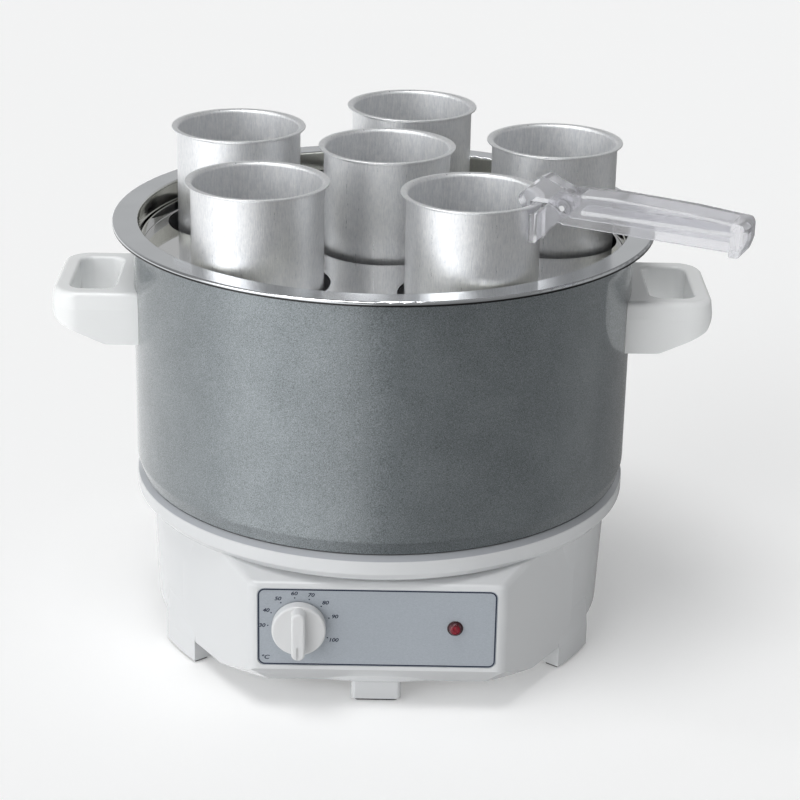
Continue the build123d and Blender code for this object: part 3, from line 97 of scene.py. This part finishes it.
class Nodes:
    """Short calls that add nodes to a tree. Most give back the socket that holds the result."""

    # A Mix node has several sockets of each name; these are the ones for colours.
    MIX_FIRST, MIX_SECOND, MIX_RESULT = 6, 7, 2
    # Most values of a noise lie in this span.
    NOISE_SPAN = (0.3, 0.7)

    def __init__(self, tree):
        self.tree = tree

    def fill(self, node, values):
        """Sets properties and sockets by name, with an underscore for each space."""
        for key, value in values.items():
            if hasattr(node, key):
                setattr(node, key, value)
            else:
                node.inputs[key.replace("_", " ")].default_value = value

    def node(self, kind, **values):
        made = self.tree.nodes.new(kind)
        self.fill(made, values)
        return made

    def link(self, source, target):
        self.tree.links.new(source, target)

    def math(self, operation, a, b=0.0):
        made = self.node("ShaderNodeMath", operation=operation)
        for socket, value in ((0, a), (1, b)):
            if isinstance(value, (int, float)):
                made.inputs[socket].default_value = value
            else:
                self.link(value, made.inputs[socket])
        return made.outputs[0]

    def share(self, first, part, second):
        """A part of one value and the rest of another."""
        return self.math("ADD", self.math("MULTIPLY", first, part), self.math("MULTIPLY", second, 1 - part))

    def vector_math(self, operation, vector, constant=None):
        """The node itself, since its result is a vector or a value."""
        made = self.node("ShaderNodeVectorMath", operation=operation)
        if constant is not None:
            made.inputs[1].default_value = constant
        self.link(vector, made.inputs[0])
        return made

    def split(self, vector):
        made = self.node("ShaderNodeSeparateXYZ")
        self.link(vector, made.inputs[0])
        return made.outputs[0], made.outputs[1], made.outputs[2]

    def coords(self, offset=(0, 0, 0), scale=(1, 1, 1)):
        """The object's own coordinates, from a given origin."""
        where = self.node("ShaderNodeTexCoord")
        moved = self.node("ShaderNodeMapping", vector_type="TEXTURE", Location=offset)
        self.link(where.outputs["Object"], moved.inputs["Vector"])
        return self.vector_math("MULTIPLY", moved.outputs["Vector"], scale).outputs["Vector"]

    def polar(self, centre):
        """Angle, radius and height about an upright axis."""
        x, y, z = self.split(self.coords((centre[0], centre[1], 0)))
        square = self.math("ADD", self.math("MULTIPLY", x, x), self.math("MULTIPLY", y, y))
        return self.math("ARCTAN2", y, x), self.math("SQRT", square), z

    def around(self, centre, turn, radial, rise):
        """Coordinates that wrap round an upright axis: angle, radius and height, each scaled."""
        joined = self.node("ShaderNodeCombineXYZ")
        for i, (value, scale) in enumerate(zip(self.polar(centre), (turn, radial, rise))):
            self.link(self.math("MULTIPLY", value, scale), joined.inputs[i])
        return joined.outputs[0]

    def noise(self, vector, scale=1.0, detail=3.0, roughness=0.6):
        made = self.node("ShaderNodeTexNoise", Scale=scale, Detail=detail, Roughness=roughness)
        self.link(vector, made.inputs["Vector"])
        return made.outputs["Fac"]

    def cells(self, scale):
        made = self.node("ShaderNodeTexVoronoi", Scale=scale)
        self.link(self.coords(), made.inputs["Vector"])
        return made

    def ramp(self, value, low, high, from_low=0.0, from_high=1.0, curve="LINEAR"):
        """A value brought from one span into another, and held at its ends."""
        made = self.node("ShaderNodeMapRange", interpolation_type=curve, From_Min=from_low,
                         From_Max=from_high, To_Min=low, To_Max=high)
        self.link(value, made.inputs["Value"])
        return made.outputs["Result"]

    def vary(self, noise, low, high):
        """A noise brought into a span."""
        return self.ramp(noise, low, high, *self.NOISE_SPAN)

    def above(self, value, start, full):
        """0 up to one value, 1 from another on."""
        return self.ramp(value, 0.0, 1.0, start, full)

    def below(self, value, full, gone):
        """1 up to one value, 0 from another on."""
        return self.ramp(value, 1.0, 0.0, full, gone)

    def blend(self, factor, first, second):
        """A colour between two, each a constant or a socket."""
        made = self.node("ShaderNodeMix", data_type="RGBA")
        self.link(factor, made.inputs["Factor"])
        for socket, colour in ((self.MIX_FIRST, first), (self.MIX_SECOND, second)):
            if isinstance(colour, tuple):
                made.inputs[socket].default_value = colour + (1.0,)
            else:
                self.link(colour, made.inputs[socket])
        return made.outputs[self.MIX_RESULT]

    def bump(self, height, strength, distance):
        made = self.node("ShaderNodeBump", Strength=strength, Distance=distance)
        self.link(height, made.inputs["Height"])
        return made.outputs["Normal"]


class Shader(Nodes):
    """A Principled material."""

    def __init__(self, name, **sockets):
        self.material = bpy.data.materials.new(name)
        self.material.use_nodes = True
        super().__init__(self.material.node_tree)
        self.bsdf = self.tree.nodes["Principled BSDF"]
        self.fill(self.bsdf, sockets)

    def into(self, source, socket):
        self.link(source, self.bsdf.inputs[socket])


# ---------------------------------------------------------------- materials

def brushed_cup(name, centre):
    """Satin aluminium, drawn up the wall: crinkled upright streaks and blotches, duller inside."""
    s = Shader(name, Metallic=0.9, Roughness=0.36)
    fine = s.noise(s.around(centre, turn=60, radial=500, rise=140), detail=4.0, roughness=0.7)
    broad = s.noise(s.around(centre, turn=10, radial=300, rise=14), detail=4.0, roughness=0.65)
    mottled = s.noise(s.coords(scale=(1, 1, 0.5)), scale=520.0, detail=5.0, roughness=0.75)
    grain = s.share(fine, 0.6, mottled)
    radius = s.polar(centre)[1]
    inner_face, outer_face, duller = 43.2 * MM, 43.9 * MM, 0.24
    inside = s.ramp(radius, duller, 0.0, inner_face, outer_face)
    s.into(s.blend(s.above(grain, 0.38, 0.62), CUP_DARK, CUP_LIGHT), "Base Color")
    s.into(s.math("ADD", s.vary(s.share(broad, 0.5, fine), 0.23, 0.48), inside), "Roughness")
    s.into(s.bump(grain, strength=0.75, distance=0.4 * MM), "Normal")
    return s.material


def spun_steel():
    """Stainless tank: faint rings from spinning, straw-coloured in the mouth, and painted shade along the
    lower edge of its hem: a black band standing in for the shadow and dark reflection under the flange.
    """
    s = Shader("spun_stainless", Metallic=1.0, Roughness=0.12)
    rings = s.noise(s.around((0, 0), turn=3, radial=2600, rise=2600), detail=3.0)
    smudge = s.noise(s.coords(), scale=22.0, detail=4.0)
    radius, height = s.polar((0, 0))[1:]
    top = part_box("tank")[1]
    hem_inside, hem_foot, wall = top.x - 1.4 * MM, top.z - 3.2 * MM, 172.0 * MM
    # Painted shade: black on the outside of the hem's lowest 1.1 to 1.5 mm, standing in for the shadow and
    # dark reflection under the flange.
    edge = s.math("MULTIPLY", s.above(radius, hem_inside - 0.5 * MM, hem_inside),
                  s.below(height, hem_foot + 1.1 * MM, hem_foot + 1.5 * MM))
    mouth = s.math("MULTIPLY", s.below(radius, wall - 1.0 * MM, wall + 1.0 * MM),
                   s.above(height, hem_foot - 18.5 * MM, hem_foot - 16.0 * MM))
    tone = s.blend(mouth, s.blend(smudge, TANK_DARK, TANK_LIGHT), TANK_STRAW)
    s.into(s.blend(edge, tone, TANK_PAINTED_SHADE), "Base Color")
    s.into(s.vary(s.share(rings, 0.5, smudge), 0.05, 0.17), "Roughness")
    s.into(s.bump(rings, strength=0.08, distance=0.08 * MM), "Normal")
    return s.material


def mirror_steel():
    """Polished rack: a clean mirror with hairline scratches and a little haze."""
    s = Shader("polished_stainless", Metallic=1.0, Roughness=0.04)
    hair = s.noise(s.coords(scale=(1, 14, 1)), scale=90.0, detail=5.0, roughness=0.8)
    haze = s.noise(s.coords(), scale=14.0)
    s.into(s.blend(haze, RACK_DARK, RACK_LIGHT), "Base Color")
    s.into(s.ramp(s.math("MULTIPLY", hair, haze), 0.02, 0.09, from_low=0.15, from_high=0.45), "Roughness")
    s.into(s.bump(haze, strength=0.05, distance=0.6 * MM), "Normal")
    return s.material


def flake_paint():
    """Grey-green metallic paint with coarse flakes under a deep clear coat."""
    s = Shader("flake_paint", Metallic=0.75, Roughness=0.42, Coat_Weight=1.0, Coat_Roughness=0.02,
               Coat_IOR=1.55)
    flakes = s.cells(900.0).outputs["Color"]
    speck = s.noise(s.coords(), scale=1600.0, detail=2.0, roughness=0.8)
    cloud = s.noise(s.coords(), scale=25.0)
    orange_peel = s.noise(s.coords(), scale=160.0, detail=2.0)
    tone = s.above(s.share(speck, 0.85, cloud), 0.36, 0.63)
    s.into(s.blend(tone, JACKET_DARK, JACKET_LIGHT), "Base Color")
    s.into(s.ramp(flakes, 0.34, 0.56), "Roughness")
    s.into(s.bump(speck, strength=0.25, distance=0.2 * MM), "Normal")
    s.into(s.bump(orange_peel, strength=0.03, distance=0.4 * MM), "Coat Normal")
    return s.material


def moulded_plastic(name, colour, roughness, rim_height=None):
    """Glossy moulding: slight drift in colour and gloss, orange peel, grey above its rim if it has one."""
    s = Shader(name, Roughness=roughness, Coat_Weight=0.3, Coat_Roughness=0.06)
    drift = s.noise(s.coords(), scale=9.0)
    tone = s.blend(drift, darker(colour, 0.98), colour)
    if rim_height:
        height = s.split(s.coords())[2]
        tone = s.blend(s.above(height, rim_height, rim_height + 0.3 * MM), tone, BASE_RIM_GREY)
    s.into(tone, "Base Color")
    s.into(s.vary(drift, roughness * 0.9, roughness * 1.1), "Roughness")
    orange_peel = s.noise(s.coords(), scale=260.0, detail=2.0)
    s.into(s.bump(orange_peel, strength=0.03, distance=0.2 * MM), "Normal")
    return s.material


def panel_paint():
    """Silver-blue fascia: fine metallic grain."""
    s = Shader("fascia_paint", Metallic=0.25, Roughness=0.45, Coat_Weight=0.2, Coat_Roughness=0.15)
    grain = s.noise(s.coords(scale=(1, 1, 6)), scale=900.0, roughness=0.7)
    cloud = s.noise(s.coords(), scale=30.0, detail=2.0)
    s.into(s.blend(s.above(grain, 0.35, 0.65), FASCIA_DARK, FASCIA_LIGHT), "Base Color")
    s.into(s.ramp(cloud, 0.34, 0.46), "Roughness")
    s.into(s.bump(grain, strength=0.12, distance=0.1 * MM), "Normal")
    return s.material


def clear_plastic():
    """Clear moulding, slightly milky and satin, with faint flow lines."""
    s = Shader("clear_plastic", Base_Color=GRIP_CLEAR, Roughness=0.08, IOR=1.46, Transmission_Weight=0.85)
    flow = s.noise(s.coords(scale=(1, 1, 3)), scale=60.0, detail=4.0)
    s.into(s.vary(flow, 0.05, 0.12), "Roughness")
    s.into(s.bump(flow, strength=0.06, distance=0.4 * MM), "Normal")
    return s.material


def red_lens(centre):
    """Translucent red lens: moulded facets, bright in the middle and dark towards its rim."""
    s = Shader("red_lens", Roughness=0.12, IOR=1.49, Transmission_Weight=0.2, Coat_Weight=0.5)
    facets = s.cells(900.0).outputs["Distance"]
    from_axis = s.coords((centre.x, 0, centre.z), (1, 0, 1))
    reach = s.vector_math("LENGTH", from_axis).outputs["Value"]
    rim = s.above(reach, 2.2 * MM, 4.6 * MM)
    s.into(s.blend(rim, s.blend(facets, LENS_LIGHT, LENS_DARK), LENS_RIM), "Base Color")
    s.into(s.ramp(facets, 0.06, 0.2), "Roughness")
    s.into(s.bump(facets, strength=0.6, distance=0.4 * MM), "Normal")
    return s.material


def plain_metal(name, colour, roughness, scale=200.0):
    """Plated or rolled metal with grain."""
    s = Shader(name, Metallic=1.0, Roughness=roughness)
    grain = s.noise(s.coords(scale=(1, 6, 1)), scale, detail=4.0, roughness=0.7)
    s.into(s.blend(grain, darker(colour, 0.8), colour), "Base Color")
    s.into(s.vary(grain, roughness * 0.7, roughness * 1.4), "Roughness")
    s.into(s.bump(grain, strength=0.1, distance=0.1 * MM), "Normal")
    return s.material


def dull(name, colour, roughness, scale=300.0, depth=0.3 * MM):
    """Matt rubber, ceramic, wool or ink."""
    s = Shader(name, Roughness=roughness)
    grain = s.noise(s.coords(), scale, detail=5.0, roughness=0.7)
    s.into(s.blend(grain, darker(colour, 0.82), colour), "Base Color")
    s.into(s.vary(grain, roughness * 0.85, min(1.0, roughness * 1.15)), "Roughness")
    s.into(s.bump(grain, strength=0.3, distance=depth), "Normal")
    return s.material


def dress(material, *names):
    """Gives CAD nodes one material."""
    for name in names:
        nodes[name].data.materials.clear()
        nodes[name].data.materials.append(material)


base_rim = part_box("base_housing")[1].z - 5.7 * MM
lens_low, lens_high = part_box("pilot_lamp_lens")
dress(spun_steel(), "tank")
dress(mirror_steel(), "insert_plate")
dress(flake_paint(), "jacket")
dress(moulded_plastic("white_moulding", BASE_WHITE, 0.2, base_rim), "base_housing")
dress(moulded_plastic("handle_moulding", HANDLE_WHITE, 0.24), "handle_left", "handle_right")
dress(moulded_plastic("knob_moulding", KNOB_WHITE, 0.3), "thermostat_knob")
dress(panel_paint(), "fascia_plate")
dress(clear_plastic(), "grip_arm", "grip_lever")
dress(red_lens((lens_low + lens_high) / 2), "pilot_lamp_lens")
dress(dull("black_nylon", (0.02, 0.02, 0.02), 0.45), "cord_gland", "gland_nut", "pilot_lamp_body")
dress(dull("foot_rubber", (0.03, 0.03, 0.03), 0.8), "foot_pads")
dress(dull("silicone", (0.08, 0.08, 0.08), 0.6), "seat_gasket", "capillary_grommet")
dress(dull("glass_wool", (0.75, 0.70, 0.52), 0.95, scale=120.0, depth=2.0 * MM), "insulation_blanket")
dress(dull("ceramic", (0.78, 0.75, 0.68), 0.5), "thermostat_body", "terminal_block", "thermal_cutout")
dress(plain_metal("zinc_steel", (0.56, 0.56, 0.54), 0.35),
      "bottom_cover", "cover_screws", "chassis_plate", "chassis_screws", "heat_reflector", "tank_stud",
      "stud_nut", "bulb_clip", "thermostat_nut", "thermostat_shaft", "handle_screws")
dress(plain_metal("rolled_aluminium", (0.70, 0.71, 0.72), 0.3), "heat_plate")
dress(plain_metal("sheath", (0.20, 0.18, 0.16), 0.5), "heating_element")
dress(plain_metal("copper", (0.72, 0.38, 0.24), 0.25), "sensor_bulb", "capillary_tube")
dress(plain_metal("bright_steel", (0.65, 0.65, 0.66), 0.2, scale=800.0), "grip_pin", "grip_spring")
for name in nodes:
    if name.startswith("cup_"):
        cup_low, cup_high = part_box(name)
        dress(brushed_cup("brushed_" + name, (cup_low + cup_high) / 2), name)


# ---------------------------------------------------------------- printing on the fascia

PANEL_LOW, PANEL_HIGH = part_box("fascia_plate")
INK_Y = PANEL_LOW.y - 0.06 * MM
BORDER_INSET, BORDER_LINE, BORDER_RADIUS = 0.4 * MM, 1.0 * MM, 4.7 * MM
DIAL_X, DIAL_Z = -52.5 * MM, 64.5 * MM
DOT_REACH, DOT_RADIUS, DOT_SIDES = 21.0 * MM, 0.5 * MM, 14
NUMBER_REACH, NUMBER_SIZE, DIGIT_REACH = 24.1 * MM, 3.7 * MM, 0.45 * MM
UNIT_X, UNIT_Z, UNIT_SIZE = PANEL_LOW.x + 5.1 * MM, PANEL_LOW.z + 5.7 * MM, 4.2 * MM
TEXT_BOLDER, TEXT_SLANT, TEXT_WIDER = 0.1 * MM, 0.2, 1.2
# Temperature: degrees clockwise from straight down, as seen from the front.
DIAL = {30: 90, 40: 117, 50: 144.5, 60: 172, 70: 199, 80: 225, 90: 253, 100: 294}
navy_ink = dull("navy_ink", NAVY, 0.5, scale=900.0, depth=0.05 * MM)


def printed(made):
    """Marks an object as ink that stays on the base."""
    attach(made, "melter")


def print_shape(name, points, faces):
    """A flat printed shape, given in X and Z."""
    printed(add_mesh(name, [(x, INK_Y, z) for x, z in points], faces, navy_ink))


def print_text(name, words, x, z, size):
    """Bold slanted characters, centred on a point of the panel."""
    curve = bpy.data.curves.new(name, "FONT")
    curve.body, curve.size, curve.align_x, curve.align_y = words, size, "CENTER", "CENTER"
    curve.offset, curve.shear = TEXT_BOLDER, TEXT_SLANT
    curve.materials.append(navy_ink)
    made = add(name, curve)
    upright, widened = Matrix.Rotation(math.pi / 2, 4, "X"), Matrix.Diagonal((TEXT_WIDER, 1, 1, 1))
    made.matrix_world = Matrix.Translation((x, INK_Y, z)) @ upright @ widened
    printed(made)


def rounded_loop(inset, radius, corner_steps=8):
    """Points round the panel at an inset, with round corners."""
    low_x, high_x = PANEL_LOW.x + inset + radius, PANEL_HIGH.x - inset - radius
    low_z, high_z = PANEL_LOW.z + inset + radius, PANEL_HIGH.z - inset - radius
    corners = ((high_x, high_z, 0), (low_x, high_z, 90), (low_x, low_z, 180), (high_x, low_z, 270))
    loop = []
    for x, z, start in corners:
        for i in range(corner_steps + 1):
            angle = math.radians(start + 90 * i / corner_steps)
            loop.append((x + radius * math.cos(angle), z + radius * math.sin(angle)))
    return loop


def print_border():
    """The dark line just inside the fascia's edge."""
    outer = rounded_loop(BORDER_INSET, BORDER_RADIUS)
    inner = rounded_loop(BORDER_INSET + BORDER_LINE, BORDER_RADIUS - BORDER_LINE)
    print_shape("fascia_border", outer + inner, loop_faces(len(outer)))


def dial_point(angle, reach):
    """X and Z on the dial, at degrees clockwise from straight down."""
    turn = math.radians(angle)
    return DIAL_X - reach * math.sin(turn), DIAL_Z - reach * math.cos(turn)


def print_dial():
    """Dots and plain temperatures round the knob, and the unit below."""
    points, faces = [], []
    for angle in DIAL.values():
        faces.append(tuple(range(len(points), len(points) + DOT_SIDES)))
        points += circle(DOT_RADIUS, DOT_SIDES, *dial_point(angle, DOT_REACH))
    print_shape("dial_dots", points, faces)
    for value, angle in DIAL.items():
        # Longer numbers stand further out, the more they lie beside the knob.
        sideways = len(str(value)) * abs(math.sin(math.radians(angle)))
        x, z = dial_point(angle, NUMBER_REACH + DIGIT_REACH * sideways)
        print_text("dial_%d" % value, str(value), x, z, NUMBER_SIZE)
    print_text("dial_unit", "°C", UNIT_X, UNIT_Z, UNIT_SIZE)


print_border()
print_dial()


# ---------------------------------------------------------------- studio

FLOOR_HALF = 14.0
WALL_REACH, WALL_TOP, WALL_SIDES = 13.5, 9.0, 48
# Heights in the room, as sines of the elevation: a light fades in over the first pair and out over
# the second.
DOWN = (-0.98, -0.62)
TABLE, WINDOW = DOWN + (-0.05, 0.05), (-0.05, 0.05, 0.45, 0.7)
CAMERA_AT = (0.0, -1.549, 0.769)
CAMERA_YAW, CAMERA_PITCH, CAMERA_ROLL = 0.51, 21.39, 1.17
LENS_MM, SENSOR_MM, NEAR, FAR = 103.2, 36.0, 0.05, 60.0


def stage_mesh(name, points, faces, shader):
    """A staged surface that metals don't see: they see the room below the horizon in its place."""
    made = add_mesh(name, points, faces, shader.material)
    made.visible_glossy = False
    return made


def backdrop():
    """Pale floor, and a pale wall far round it that only fills low views and lights nothing."""
    paper = Shader("floor_paper", Roughness=1.0, Specular_IOR_Level=0.0, Emission_Color=(1, 1, 1, 1),
                   Emission_Strength=0.2)
    paper.into(paper.blend(paper.noise(paper.coords(), scale=3.0), FLOOR_DARK, FLOOR_LIGHT), "Base Color")
    corners = ((-1, -1), (1, -1), (1, 1), (-1, 1))
    stage_mesh("floor", [(x * FLOOR_HALF, y * FLOOR_HALF, 0) for x, y in corners], [(0, 1, 2, 3)], paper)
    glow = Shader("wall_paper", Base_Color=(0, 0, 0, 1), Roughness=1.0, Specular_IOR_Level=0.0,
                  Emission_Color=WALL_GLOW, Emission_Strength=0.9)
    ring = circle(WALL_REACH, WALL_SIDES)
    points = [(x, y, z) for z in (0, WALL_TOP) for x, y in ring]
    wall = stage_mesh("wall", points, loop_faces(WALL_SIDES), glow)
    wall.visible_diffuse = wall.visible_shadow = False


class Room(Nodes):
    """The world around the object: light that depends on the direction that it comes from."""

    def __init__(self):
        world = bpy.data.worlds.new("studio")
        world.use_nodes = True
        bpy.context.scene.world = world
        super().__init__(world.node_tree)
        self.way = self.node("ShaderNodeTexCoord").outputs["Generated"]
        self.height = self.split(self.way)[2]
        flat = self.vector_math("MULTIPLY", self.way, (1, 1, 0)).outputs["Vector"]
        self.level = self.vector_math("NORMALIZE", flat).outputs["Vector"]

    def fade(self, value, low, high, amount=1.0):
        """Nothing below one value, the whole amount above another, and smooth between them."""
        return self.ramp(value, 0.0, amount, low, high, "SMOOTHSTEP")

    def between(self, start, full, fading, gone):
        """Light between heights."""
        return self.math("MULTIPLY", self.fade(self.height, start, full),
                         self.math("SUBTRACT", 1.0, self.fade(self.height, fading, gone)))

    def facing(self, way, direction, outer, inner, amount):
        """Light near a direction: full inside one angle from it, nothing past another."""
        nearness = self.vector_math("DOT_PRODUCT", way, direction).outputs["Value"]
        return self.fade(nearness, math.cos(math.radians(outer)), math.cos(math.radians(inner)), amount)

    def arc(self, azimuth, outer, inner, amount, heights):
        """An upright band of light, at degrees right of the front."""
        lit = self.facing(self.level, towards(azimuth), outer, inner, amount)
        return self.math("MULTIPLY", lit, self.between(*heights))

    def panel(self, azimuth, elevation, outer, inner, amount):
        """A round soft panel."""
        return self.facing(self.way, towards(azimuth, elevation), outer, inner, amount)

    def show(self, base, *lights):
        """Even light that fades straight down, and the given lights on top."""
        total = self.math("MULTIPLY", self.fade(self.height, *DOWN), base)
        for light in lights:
            total = self.math("ADD", total, light)
        background = self.tree.nodes["Background"]
        self.link(total, background.inputs["Strength"])
        background.inputs["Color"].default_value = ROOM_GLOW


def room():
    """A window at the front left and the table lit by it, seen in the metal, with dim light elsewhere."""
    made = Room()
    made.show(0.23,
              made.arc(-49, outer=36, inner=8, amount=3.0, heights=WINDOW),
              made.arc(-38, outer=44, inner=10, amount=0.95, heights=TABLE),
              made.arc(-120, outer=75, inner=45, amount=0.72, heights=TABLE),
              made.arc(104, outer=18, inner=4, amount=0.12, heights=TABLE),
              made.arc(78, outer=30, inner=12, amount=0.2, heights=WINDOW),
              made.arc(180, outer=70, inner=20, amount=0.3, heights=WINDOW),
              made.panel(-40, 65, outer=60, inner=22, amount=0.1))


def sun(azimuth, elevation, strength, softness):
    """Broad key light from a direction; its softness is the angle that it fills."""
    data = bpy.data.lights.new("key", "SUN")
    data.energy, data.angle = strength, math.radians(softness)
    add("key", data).rotation_euler = towards(azimuth, elevation).to_track_quat("Z", "Y").to_euler()


def camera():
    """Long lens a metre and a half away, looking down on the front."""
    yaw, pitch, roll = (math.radians(angle) for angle in (CAMERA_YAW, CAMERA_PITCH, CAMERA_ROLL))
    forward = Vector((math.sin(yaw) * math.cos(pitch), math.cos(yaw) * math.cos(pitch), -math.sin(pitch)))
    right = forward.cross(Vector((0, 0, 1))).normalized()
    up = right.cross(forward)
    rolled_right = right * math.cos(roll) + up * math.sin(roll)
    rolled_up = up * math.cos(roll) - right * math.sin(roll)
    data = bpy.data.cameras.new("camera")
    data.sensor_width, data.lens, data.clip_start, data.clip_end = SENSOR_MM, LENS_MM, NEAR, FAR
    made = add("camera", data)
    turned = Matrix((rolled_right, rolled_up, -forward)).transposed().to_4x4()
    made.matrix_world = Matrix.Translation(CAMERA_AT) @ turned
    bpy.context.scene.camera = made


backdrop()
room()
sun(azimuth=-48, elevation=74, strength=1.28, softness=32)
camera()
bpy.context.scene.view_settings.view_transform = "Standard"
